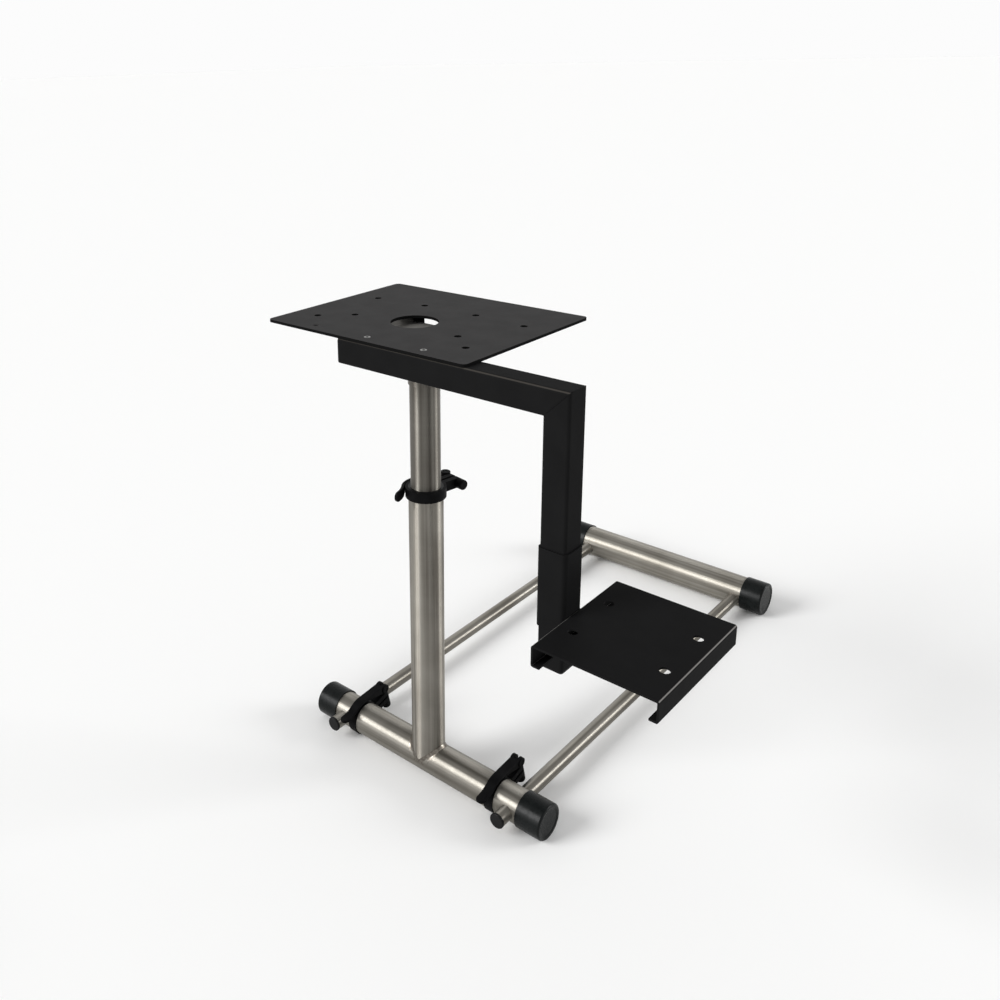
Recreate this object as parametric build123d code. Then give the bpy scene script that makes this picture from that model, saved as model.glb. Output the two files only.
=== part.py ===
"""Racing wheel stand: a telescopic stainless post on a sliding base, with a plate for the wheel
and a side arm that carries a plate for a gear shifter.  Millimetres, +Z up.

The model is drawn with the post's axis on X = Y = 0 and the floor at Z = 0.  X runs along the front
crossbar, and Y runs along the rods towards the rear crossbar.  At the end every piece is moved so
that the origin lies on the floor under the middle of the whole stand.
"""
import os
from math import acos, atan2, degrees
from typing import NamedTuple

from build123d import *

# Tubes of the base and the post
front_bar_od = 50.8
rear_bar_od = 60.0
rear_bar_distance = 772.0
round_tube_wall = 1.5
lower_post_od = 50.8
lower_post_top = 481.3
upper_post_insertion = 205.0

# Sliding rods and their tips
rod_diameter = 22.2
rod_wall = 1.5
rod_spacing = 326.0
rod_front_reach = 44.0
rod_weld_depth = 8.0
tip_face = 3.5
tip_overhang = 0.4
tip_edge_round = 1.5
tip_depth = 12.0

# Rubber end caps
cap_cover = 36.0
cap_end = 5.0
cap_edge_round = 3.0
cap_dish_depth = 1.0
cap_dish_margin = 5.0
cap_dish_slope_run = 3.0
front_cap_margin = 5.5
rear_cap_margin = 1.0

# Quick-release clamps, in their own frame: axis along Z, ears towards +X, lever side towards +Y
bar_collar_wall = 1.6
post_collar_wall = 4.2
collar_height = 15.0
collar_split = 4.0
ear_thickness = 8.0
ear_height = 15.0
skewer_standoff = 27.6
skewer_diameter = 6.0
pivot_pin_length = 17.0
nut_diameter = 15.0
nut_length = 13.0
nut_end = 3.0
nut_edge_round = 2.0
cam_radius = 7.5
cam_height = 18.0
lever_thickness = 4.5
lever_width = 15.0
bar_lever_wrap_end = 111.0
post_lever_wrap_end = 138.0
lever_tail_radius = 45.0
bar_lever_tail_turn = 40.0
post_lever_tail_turn = 36.0
lever_edge_round = 1.2
cam_edge_round = 1.0
left_collar_margin = 4.0
right_collar_margin = 11.5
collar_floor_margin = 0.4
lower_clamp_turn = 14.0
post_clamp_turn = 80.0
slit_width = 3.0
post_slit_length = 50.0
bar_slit_overlap = 13.0

# Bushes inside the post
post_bush_wall = 1.8
post_bush_length = 40.0
post_bush_flange = 2.0
guide_bush_length = 15.0
guide_spigot_length = 20.0

# Head of the upper post and the wheel plate
plate_top = 728.6
plate_width = 344.0
plate_depth = 274.0
plate_thickness = 4.0
plate_corner = 7.0
plate_offset_x = -5.3
plate_offset_y = 10.9
access_hole_diameter = 66.0
access_hole_offset = -24.2
wheel_hole_diameter = 10.0
rear_pair_spacing = 260.5
rear_pair_y = 45.0
inner_pair_spacing = 91.5
inner_pair_y = 52.0
middle_pair_spacing = 182.0
middle_pair_y = -46.0
front_pair_spacing = 260.5
front_pair_y = -80.5
bracket_width = 88.0
bracket_thickness = 4.0
bracket_bend = 5.0
bracket_rise = 9.0
bracket_back = 26.0
bracket_front = 30.0
head_sleeve_wall = 1.5
head_sleeve_length = 73.0

# Side arm
arm_size = 35.0
arm_wall = 1.8
arm_corner = 4.0
arm_reach = 309.0
arm_tail = 40.5
arm_setback = 18.3
drop_length = 347.5
arm_bolt_spacing = 94.7
arm_bolt_diameter = 6.0
arm_bolt_length = 16.0
bolt_head_diameter = 9.0
bolt_head_depth = 1.5
bolt_head_sink = 0.1
plug_depth = 12.0
plug_face = 2.0

# Shifter mount
sleeve_wall = 1.8
sleeve_length = 101.5
sleeve_rise = 52.0
shifter_rise = 21.0
shifter_width = 153.5
shifter_depth = 183.5
shifter_offset_y = 5.7
shifter_thickness = 2.5
shifter_bend = 1.6
shifter_flange = 26.7
shifter_lip = 11.0
shifter_hole_diameter = 12.0
shifter_hole_spacing_x = 111.5
shifter_hole_spacing_y = 78.5
set_screw_diameter = 8.0
set_screw_head_diameter = 14.0
set_screw_head_height = 8.0
set_screw_height = 40.0

# Clearances
fit_gap = 0.1
slide_gap = 0.25
hole_gap = 0.2
pivot_gap = 0.06
cam_gap = 0.5
bar_lever_gap = 2.8
post_lever_gap = 1.2
least_corner = 0.5

# Sizes that follow from those above
front_bar_radius = front_bar_od / 2
rear_bar_radius = rear_bar_od / 2
rod_radius = rod_diameter / 2
rod_outer_reach = rod_spacing / 2 + rod_radius
front_bar_length = 2 * (rod_outer_reach + front_cap_margin + cap_cover)
rear_bar_length = 2 * (rod_outer_reach + rear_cap_margin + cap_cover)
rod_inner_reach = rod_spacing / 2 - rod_radius
left_clamp_x = left_collar_margin + collar_height / 2 - rod_inner_reach
right_clamp_x = rod_inner_reach - right_collar_margin - collar_height / 2
cap_wall = bar_collar_wall + collar_floor_margin
front_bar_height = front_bar_radius + fit_gap + cap_wall
rear_bar_height = rear_bar_radius + fit_gap + cap_wall
lower_post_radius = lower_post_od / 2
lower_post_bore = lower_post_radius - round_tube_wall
upper_post_radius = lower_post_bore - fit_gap - post_bush_wall - slide_gap
upper_post_bore = upper_post_radius - round_tube_wall
upper_post_foot = lower_post_top - upper_post_insertion
plate_underside = plate_top - plate_thickness
bracket_top = plate_underside
web_underside = bracket_top - bracket_rise - bracket_thickness
arm_top = plate_underside
arm_axis_z = arm_top - arm_size / 2
arm_centre_y = plate_offset_y - plate_depth / 2 + arm_setback
drop_axis_x = arm_reach - arm_size / 2
drop_foot = arm_top - drop_length
sleeve_foot = drop_foot + sleeve_rise
shifter_top = sleeve_foot + shifter_rise
sleeve_bore = arm_size + 2 * slide_gap
sleeve_size = sleeve_bore + 2 * sleeve_wall
shifter_left = drop_axis_x + sleeve_size / 2
shifter_centre_y = arm_centre_y + shifter_offset_y
skewer_radius = skewer_diameter / 2
ear_face = collar_split / 2 + ear_thickness
pivot_y = ear_face + cam_gap + cam_radius

parts = {}


class ClampSize(NamedTuple):
    """What the clamps on the bar and the clamp on the post don't share."""
    tube_radius: float
    wall: float
    lever_gap: float
    wrap_end: float
    tail_turn: float


bar_clamp = ClampSize(front_bar_radius, bar_collar_wall, bar_lever_gap,
                      bar_lever_wrap_end, bar_lever_tail_turn)
post_clamp = ClampSize(lower_post_radius, post_collar_wall, post_lever_gap,
                       post_lever_wrap_end, post_lever_tail_turn)


def rod_shape(radius, length):
    """A plain cylinder along +Z from the origin."""
    return Cylinder(radius, length, align=(Align.CENTER, Align.CENTER, Align.MIN))


def pipe(radius, bore, length):
    """A round tube along +Z from the origin."""
    return rod_shape(radius, length) - rod_shape(bore, length)


def along_x(shape, start):
    """Lays a shape drawn along +Z so that it runs along +X from the given X."""
    return Pos(start, 0, 0) * Rot(0, 90, 0) * shape


def along_y(shape, start):
    """Lays a shape drawn along +Z so that it runs along +Y from the given Y."""
    return Pos(0, start, 0) * Rot(-90, 0, 0) * shape


def square_tube(size, wall, corner, length):
    """A square tube along +Z from the origin, with rounded outer corners."""
    bore = size - 2 * wall
    outer = extrude(RectangleRounded(size, size, corner), length)
    inner = extrude(RectangleRounded(bore, bore, max(corner - wall, least_corner)), length)
    return outer - inner


def end_cap(bar_radius):
    """A rubber cup that slips over a tube's end: open at Z = 0, closed at the far end."""
    outer_radius = bar_radius + fit_gap + cap_wall
    length = cap_cover + cap_end
    cup = rod_shape(outer_radius, length)
    cup = fillet(cup.edges().sort_by(Axis.Z)[-1], cap_edge_round)
    cup -= rod_shape(bar_radius + fit_gap, cap_cover)
    dish_radius = outer_radius - cap_dish_margin
    dish = Cone(dish_radius - cap_dish_slope_run, dish_radius, cap_dish_depth,
                align=(Align.CENTER, Align.CENTER, Align.MAX))
    return cup - Pos(0, 0, length) * dish


def rod_tip():
    """A plastic plug for a rod's front end: a face that starts at Z = 0, and a spigot below it."""
    face = rod_shape(rod_radius + tip_overhang, tip_face)
    face = fillet(face.edges().sort_by(Axis.Z)[-1], tip_edge_round)
    spigot = rod_shape(rod_radius - rod_wall - fit_gap, tip_depth)
    return face + Pos(0, 0, -tip_depth) * spigot


def folded_sheet(corners, bend, thickness, depth):
    """A bent sheet: a line across it with rolled corners, given its thickness and drawn out along Y."""
    section = trace(FilletPolyline(*corners, radius=bend), thickness)
    return extrude(Plane.XZ * section, depth / 2, both=True)


def countersunk(gap, length):
    """An arm bolt with its flat top at Z = 0, pointing down, or its hole where a gap is given."""
    shank_radius = arm_bolt_diameter / 2 + gap
    head = Cone(shank_radius, bolt_head_diameter / 2 + gap, bolt_head_depth,
                align=(Align.CENTER, Align.CENTER, Align.MAX))
    return head + Pos(0, 0, -length) * rod_shape(shank_radius, length - bolt_head_depth)


def clamp_collar(clamp):
    """A split ring with two ears, drilled across for the skewer."""
    bore = clamp.tube_radius + fit_gap
    outer = bore + clamp.wall
    ring = Pos(0, 0, -collar_height / 2) * pipe(outer, bore, collar_height)
    skewer_offset = clamp.tube_radius + skewer_standoff
    ear_outline = Pos(skewer_offset / 2, 0) * Rectangle(skewer_offset, ear_height)
    ear_outline += Pos(skewer_offset, 0) * Circle(ear_height / 2)
    ears = extrude(Plane.XZ * ear_outline, ear_face, both=True)
    ears -= Pos(0, 0, -collar_height / 2) * rod_shape(bore, collar_height)
    split = Box(2 * skewer_offset, collar_split, collar_height)
    bore_across = along_y(rod_shape(skewer_radius + hole_gap, 2 * ear_face), -ear_face)
    return ring + ears - Pos(skewer_offset, 0, 0) * split - Pos(skewer_offset, 0, 0) * bore_across


def clamp_skewer(clamp):
    """A round bolt through both ears, ending in the cross pin that the lever turns on."""
    start = -(ear_face + nut_length - nut_end)
    bolt = along_y(rod_shape(skewer_radius, pivot_y - start), start)
    pin = Pos(0, pivot_y, -pivot_pin_length / 2) * rod_shape(skewer_radius, pivot_pin_length)
    return Pos(clamp.tube_radius + skewer_standoff, 0, 0) * (bolt + pin)


def clamp_nut(clamp):
    """A barrel nut against the outer face of the ear across from the lever."""
    barrel = rod_shape(nut_diameter / 2, nut_length)
    barrel = fillet(barrel.edges().sort_by(Axis.Z)[-1], nut_edge_round)
    barrel -= rod_shape(skewer_radius + fit_gap, nut_length - nut_end)
    return Pos(clamp.tube_radius + skewer_standoff, -ear_face, 0) * Rot(90, 0, 0) * barrel


def lever_outline(clamp, pivot):
    """The lever's side view: a round cam, a wrap round the collar and a tail that flares out."""
    inner_radius = clamp.tube_radius + fit_gap + clamp.wall + clamp.lever_gap
    outer_radius = inner_radius + lever_thickness
    bearing = degrees(atan2(pivot.Y, pivot.X))
    outer_start = bearing + degrees(acos((outer_radius - cam_radius) / pivot.length))
    inner_start = bearing + degrees(acos((inner_radius + cam_radius) / pivot.length))
    with BuildLine() as outline:
        outer = CenterArc((0, 0), outer_radius, outer_start, clamp.wrap_end - outer_start)
        inner = CenterArc((0, 0), inner_radius, inner_start, clamp.wrap_end - inner_start)
        outer_tail = JernArc(outer @ 1, outer % 1, lever_tail_radius, -clamp.tail_turn)
        inner_tail = JernArc(inner @ 1, inner % 1, lever_tail_radius + lever_thickness, -clamp.tail_turn)
        cam = CenterArc(pivot, cam_radius, inner_start + 180, outer_start - inner_start + 180)
        Line(cam @ 1, outer @ 0)
        Line(inner @ 0, cam @ 0)
        Line(outer_tail @ 1, inner_tail @ 1)
    return make_face(outline.edges())


def clamp_lever(clamp):
    """A cam lever: a forked cam on the cross pin and a blade that wraps round the collar."""
    pivot = Vector(clamp.tube_radius + skewer_standoff, pivot_y)
    blade = extrude(lever_outline(clamp, pivot), lever_width / 2, both=True)
    tail_end = blade.faces().filter_by(GeomType.PLANE).filter_by(Axis.Z, reverse=True).sort_by(Axis.X)[0]
    blade = fillet(tail_end.edges().filter_by(Axis.Z, reverse=True), lever_width / 2 - least_corner)
    rims = blade.faces().sort_by(Axis.Z)
    blade = fillet(rims[0].edges() + rims[-1].edges(), lever_edge_round)
    cam = rod_shape(cam_radius, cam_height)
    cam = fillet(cam.edges().filter_by(GeomType.CIRCLE), cam_edge_round)
    lever = blade + Pos(pivot) * Pos(0, 0, -cam_height / 2) * cam
    slot = Box(4 * cam_radius, 4 * cam_radius, skewer_diameter + 2 * hole_gap,
               align=(Align.MIN, Align.CENTER, Align.CENTER))
    lever -= Pos(pivot) * Pos(-skewer_radius - hole_gap, 0, 0) * slot
    pin_hole = rod_shape(skewer_radius + pivot_gap, cam_height)
    return lever - Pos(pivot) * Pos(0, 0, -cam_height / 2) * pin_hole


def add_clamp(name, place, clamp):
    """Adds the four pieces of one clamp, placed on its tube."""
    parts[name + "_collar"] = place * clamp_collar(clamp)
    parts[name + "_skewer"] = place * clamp_skewer(clamp)
    parts[name + "_nut"] = place * clamp_nut(clamp)
    parts[name + "_lever"] = place * clamp_lever(clamp)


def add_front_base():
    """The front crossbar with its caps, the lower post and its bush, and the three clamps."""
    half = front_bar_length / 2
    bar = along_x(pipe(front_bar_radius, front_bar_radius - round_tube_wall, front_bar_length), -half)
    rod_hole = along_y(rod_shape(rod_radius + slide_gap, front_bar_od), -front_bar_radius)
    for side, clamp_x in ((-1, left_clamp_x), (1, right_clamp_x)):
        bar -= Pos(side * rod_spacing / 2, 0, 0) * rod_hole
        slit_start = clamp_x - side * bar_slit_overlap
        slit = Box(half - side * slit_start, front_bar_radius, slit_width,
                   align=(Align.CENTER, Align.MIN, Align.CENTER))
        bar -= Pos((slit_start + side * half) / 2, 0, 0) * slit
    parts["front_crossbar"] = Pos(0, 0, front_bar_height) * bar

    saddle = along_x(rod_shape(front_bar_radius + fit_gap / 2, front_bar_length), -half)
    post = Pos(0, 0, front_bar_height) * pipe(lower_post_radius, lower_post_bore,
                                              lower_post_top - front_bar_height)
    post -= Pos(0, 0, front_bar_height) * saddle
    post_slit = Box(lower_post_od, slit_width, post_slit_length,
                    align=(Align.MIN, Align.CENTER, Align.MAX))
    post -= Pos(0, 0, lower_post_top) * Rot(0, 0, post_clamp_turn) * post_slit
    parts["lower_post"] = post

    liner = upper_post_radius + slide_gap
    bush = pipe(lower_post_bore - fit_gap, liner, post_bush_length)
    bush += Pos(0, 0, post_bush_length) * pipe(lower_post_radius, liner, post_bush_flange)
    parts["post_bush"] = Pos(0, 0, lower_post_top - post_bush_length) * bush

    cap_start = half - cap_cover
    cap = end_cap(front_bar_radius)
    parts["front_cap_left"] = Pos(-cap_start, 0, front_bar_height) * Rot(0, -90, 0) * cap
    parts["front_cap_right"] = Pos(cap_start, 0, front_bar_height) * Rot(0, 90, 0) * cap

    collar_middle = lower_post_top + post_bush_flange - collar_height / 2
    add_clamp("post_clamp", Pos(0, 0, collar_middle) * Rot(0, 0, post_clamp_turn), post_clamp)
    lie_down = Plane(origin=(0, 0, 0), x_dir=(0, 1, 0), z_dir=(1, 0, 0))
    for name, clamp_x in (("left_clamp", left_clamp_x), ("right_clamp", right_clamp_x)):
        seat = Pos(clamp_x, 0, front_bar_height)
        place = seat * lie_down.location * Rot(0, 0, lower_clamp_turn)
        add_clamp(name, place, bar_clamp)


def add_rear_base():
    """The rear crossbar with its caps, and the two rods with their tips."""
    half = rear_bar_length / 2
    bar = along_x(pipe(rear_bar_radius, rear_bar_radius - round_tube_wall, rear_bar_length), -half)
    bar = Pos(0, rear_bar_distance, rear_bar_height) * bar
    rod_end = rear_bar_distance - rear_bar_radius + rod_weld_depth
    rod_length = rod_front_reach + rod_end
    rod = along_y(pipe(rod_radius, rod_radius - rod_wall, rod_length), -rod_front_reach)
    socket = along_y(rod_shape(rod_radius + fit_gap, rod_length), -rod_front_reach)
    tip = Pos(0, -rod_front_reach, 0) * Rot(90, 0, 0) * rod_tip()
    for name, side in (("left", -1), ("right", 1)):
        place = Pos(side * rod_spacing / 2, 0, front_bar_height)
        parts["slide_rod_" + name] = place * rod
        parts["rod_tip_" + name] = place * tip
        bar -= place * socket
    parts["rear_crossbar"] = bar

    cap_start = half - cap_cover
    cap = end_cap(rear_bar_radius)
    middle = Pos(0, rear_bar_distance, rear_bar_height)
    parts["rear_cap_left"] = middle * Pos(-cap_start, 0, 0) * Rot(0, -90, 0) * cap
    parts["rear_cap_right"] = middle * Pos(cap_start, 0, 0) * Rot(0, 90, 0) * cap


def add_mast():
    """The upper post with its foot, head and wheel plate."""
    foot = Pos(0, 0, -guide_bush_length) * rod_shape(lower_post_bore - slide_gap, guide_bush_length)
    foot += rod_shape(upper_post_bore - slide_gap, guide_spigot_length)
    parts["guide_bush"] = Pos(0, 0, upper_post_foot - slide_gap) * foot

    parts["upper_post"] = Pos(0, 0, upper_post_foot) * pipe(upper_post_radius, upper_post_bore,
                                                            web_underside - upper_post_foot)
    sleeve = pipe(upper_post_radius + fit_gap + head_sleeve_wall, upper_post_radius + fit_gap,
                  head_sleeve_length)
    parts["head_sleeve"] = Pos(0, 0, web_underside - head_sleeve_length) * sleeve

    side_x = (bracket_width - bracket_thickness) / 2
    web_z = bracket_thickness / 2
    rise = bracket_thickness + bracket_rise
    corners = ((-side_x, rise), (-side_x, web_z), (side_x, web_z), (side_x, rise))
    channel = folded_sheet(corners, bracket_bend, bracket_thickness, bracket_back + bracket_front)
    parts["head_bracket"] = Pos(0, (bracket_back - bracket_front) / 2, web_underside) * channel

    plate = extrude(RectangleRounded(plate_width, plate_depth, plate_corner), plate_thickness)
    plate -= Pos(0, access_hole_offset, 0) * rod_shape(access_hole_diameter / 2, plate_thickness)
    pairs = ((rear_pair_spacing, rear_pair_y), (inner_pair_spacing, inner_pair_y),
             (middle_pair_spacing, middle_pair_y), (front_pair_spacing, front_pair_y))
    for spacing, y in pairs:
        for side in (-1, 1):
            plate -= Pos(side * spacing / 2, y, 0) * rod_shape(wheel_hole_diameter / 2, plate_thickness)
    bolt_row_y = arm_centre_y - plate_offset_y
    for step in (-1, 0, 1):
        hole = countersunk(hole_gap, plate_thickness)
        plate -= Pos(step * arm_bolt_spacing, bolt_row_y, plate_thickness) * hole
    parts["wheel_plate"] = Pos(plate_offset_x, plate_offset_y, plate_underside) * plate


def add_arm():
    """The side arm under the plate's front edge: two square tubes mitred together, bolts and plugs."""
    mitre = Pos(drop_axis_x, arm_centre_y, arm_axis_z) * Rot(0, 45, 0)
    beyond_mitre = mitre * Box(4 * arm_reach, 2 * arm_size, 4 * arm_reach,
                            align=(Align.MIN, Align.CENTER, Align.CENTER))
    arm = along_x(square_tube(arm_size, arm_wall, arm_corner, arm_reach + arm_tail), -arm_tail)
    arm = Pos(0, arm_centre_y, arm_axis_z) * arm - beyond_mitre
    bolts = {"arm_bolt_inner": plate_offset_x, "arm_bolt_outer": plate_offset_x + arm_bolt_spacing}
    for name, x in bolts.items():
        arm -= Pos(x, arm_centre_y, arm_axis_z) * rod_shape(arm_bolt_diameter / 2 + fit_gap, arm_size)
        bolt = countersunk(0, arm_bolt_length)
        parts[name] = Pos(x, arm_centre_y, plate_top - bolt_head_sink) * bolt
    parts["arm_tube"] = arm

    drop = square_tube(arm_size, arm_wall, arm_corner, arm_top - drop_foot)
    drop = Pos(drop_axis_x, arm_centre_y, drop_foot) * drop
    above_mitre = mitre * Box(4 * arm_reach, 2 * arm_size, 4 * arm_reach,
                           align=(Align.MAX, Align.CENTER, Align.CENTER))
    parts["drop_tube"] = drop - above_mitre

    bore = arm_size - 2 * arm_wall - 2 * fit_gap
    plug = extrude(RectangleRounded(arm_size, arm_size, arm_corner), -plug_face)
    plug += extrude(RectangleRounded(bore, bore, max(arm_corner - arm_wall, least_corner)), plug_depth)
    parts["arm_end_plug"] = Pos(0, arm_centre_y, arm_axis_z) * along_x(plug, -arm_tail)
    parts["drop_end_plug"] = Pos(drop_axis_x, arm_centre_y, drop_foot) * plug


def add_shifter_mount():
    """The sleeve on the drop tube, its set screw and the lipped plate for a gear shifter."""
    sleeve = square_tube(sleeve_size, sleeve_wall, arm_corner + sleeve_wall, sleeve_length)
    screw_hole = along_y(rod_shape(set_screw_diameter / 2 + fit_gap, sleeve_size), 0)
    sleeve -= Pos(0, 0, set_screw_height) * screw_hole
    parts["shifter_sleeve"] = Pos(drop_axis_x, arm_centre_y, sleeve_foot) * sleeve

    screw = rod_shape(set_screw_diameter / 2, sleeve_wall)
    screw += Pos(0, 0, sleeve_wall) * rod_shape(set_screw_head_diameter / 2, set_screw_head_height)
    screw = along_y(screw, arm_centre_y + sleeve_bore / 2)
    parts["sleeve_set_screw"] = Pos(drop_axis_x, 0, sleeve_foot + set_screw_height) * screw

    side_x = (shifter_width - shifter_thickness) / 2
    lip_x = shifter_width / 2 - shifter_lip
    top_z = -shifter_thickness / 2
    lip_z = shifter_thickness / 2 - shifter_flange
    corners = ((-lip_x, lip_z), (-side_x, lip_z), (-side_x, top_z),
               (side_x, top_z), (side_x, lip_z), (lip_x, lip_z))
    plate = folded_sheet(corners, shifter_bend, shifter_thickness, shifter_depth)
    for step_x in (-1, 1):
        for step_y in (-1, 1):
            hole = rod_shape(shifter_hole_diameter / 2, shifter_thickness)
            plate -= Pos(step_x * shifter_hole_spacing_x / 2, step_y * shifter_hole_spacing_y / 2,
                         -shifter_thickness) * hole
    parts["shifter_plate"] = Pos(shifter_left + shifter_width / 2, shifter_centre_y, shifter_top) * plate


add_front_base()
add_rear_base()
add_mast()
add_arm()
add_shifter_mount()

stand_box = Compound(children=[Compound(part.solids()) for part in parts.values()]).bounding_box()
frame_shift = Pos(-stand_box.center().X, -stand_box.center().Y, -stand_box.min.Z)
print("frame shift", frame_shift.position)
os.makedirs("parts", exist_ok=True)
for node, part in parts.items():
    export_step(frame_shift * part, "parts/" + node + ".step")
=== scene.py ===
"""Dresses the racing wheel stand: a finish for every piece, welds, socket bolts, a knurled screw, a bent tab
and a plain pale studio.  Metres, +Z up, in the same frame as the solids."""

import logging
import math
from collections.abc import Callable, Sequence
from dataclasses import dataclass, field
from enum import Enum

import bmesh
import bpy
from mathutils import Matrix, Vector


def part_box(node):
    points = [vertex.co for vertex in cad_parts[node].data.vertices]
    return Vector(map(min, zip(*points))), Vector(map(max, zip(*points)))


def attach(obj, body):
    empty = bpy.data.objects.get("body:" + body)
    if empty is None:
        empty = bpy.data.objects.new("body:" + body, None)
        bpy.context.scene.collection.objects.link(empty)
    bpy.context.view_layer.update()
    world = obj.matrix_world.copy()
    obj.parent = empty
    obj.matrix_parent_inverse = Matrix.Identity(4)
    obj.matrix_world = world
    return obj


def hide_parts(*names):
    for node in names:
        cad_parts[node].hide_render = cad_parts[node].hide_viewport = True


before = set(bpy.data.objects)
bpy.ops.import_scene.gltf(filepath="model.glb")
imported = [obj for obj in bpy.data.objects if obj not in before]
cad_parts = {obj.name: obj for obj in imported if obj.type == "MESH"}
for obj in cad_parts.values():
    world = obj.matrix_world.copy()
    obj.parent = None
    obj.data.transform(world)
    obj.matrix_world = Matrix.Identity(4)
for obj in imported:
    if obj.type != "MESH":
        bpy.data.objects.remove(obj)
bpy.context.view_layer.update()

MM = 0.001
LOG = logging.getLogger("wheel_stand")

Colour = tuple[float, float, float]
Triple = tuple[float, float, float]
Range = tuple[float, float]
Stops = Sequence[tuple[float, Colour]]
Path = Callable[[float], Vector]
Socket = bpy.types.NodeSocket
Ring = list[bmesh.types.BMVert]

BLACK: Colour = (0.0, 0.0, 0.0)
WHITE: Colour = (1.0, 1.0, 1.0)

# Ramps over how far up a surface faces, from 0 where it is upright to 1 where it is level; they mask the
# painted edge highlight and the painted shade of upright faces.
UPPER_EDGE_STOPS: Stops = ((0.46, BLACK), (0.66, WHITE), (0.80, WHITE), (0.94, BLACK))
UPRIGHT_FACE_STOPS: Stops = ((0.3, WHITE), (0.7, BLACK))


class TubeAxis(Enum):
    """The direction that a tube runs in, and so the way its polish and streaks lie."""

    X = 0
    Y = 1
    Z = 2

    def stretched(self, along: float) -> Triple:
        """Scales texture coordinates along the tube only.

        Args:
            along: the factor along the tube.

        Returns:
            A factor for each axis.
        """
        factors = [1.0, 1.0, 1.0]
        factors[self.value] = along
        return tuple(factors)


class Slot(Enum):
    """The record's material slots that the added pieces belong to."""

    STAINLESS = "stainless"
    BLACK_STEEL = "black_steel"
    ZINC = "zinc"


@dataclass(frozen=True)
class Pattern:
    """A noise: its features per metre, and the finer layers added to it."""

    scale: float
    detail: float


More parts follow.
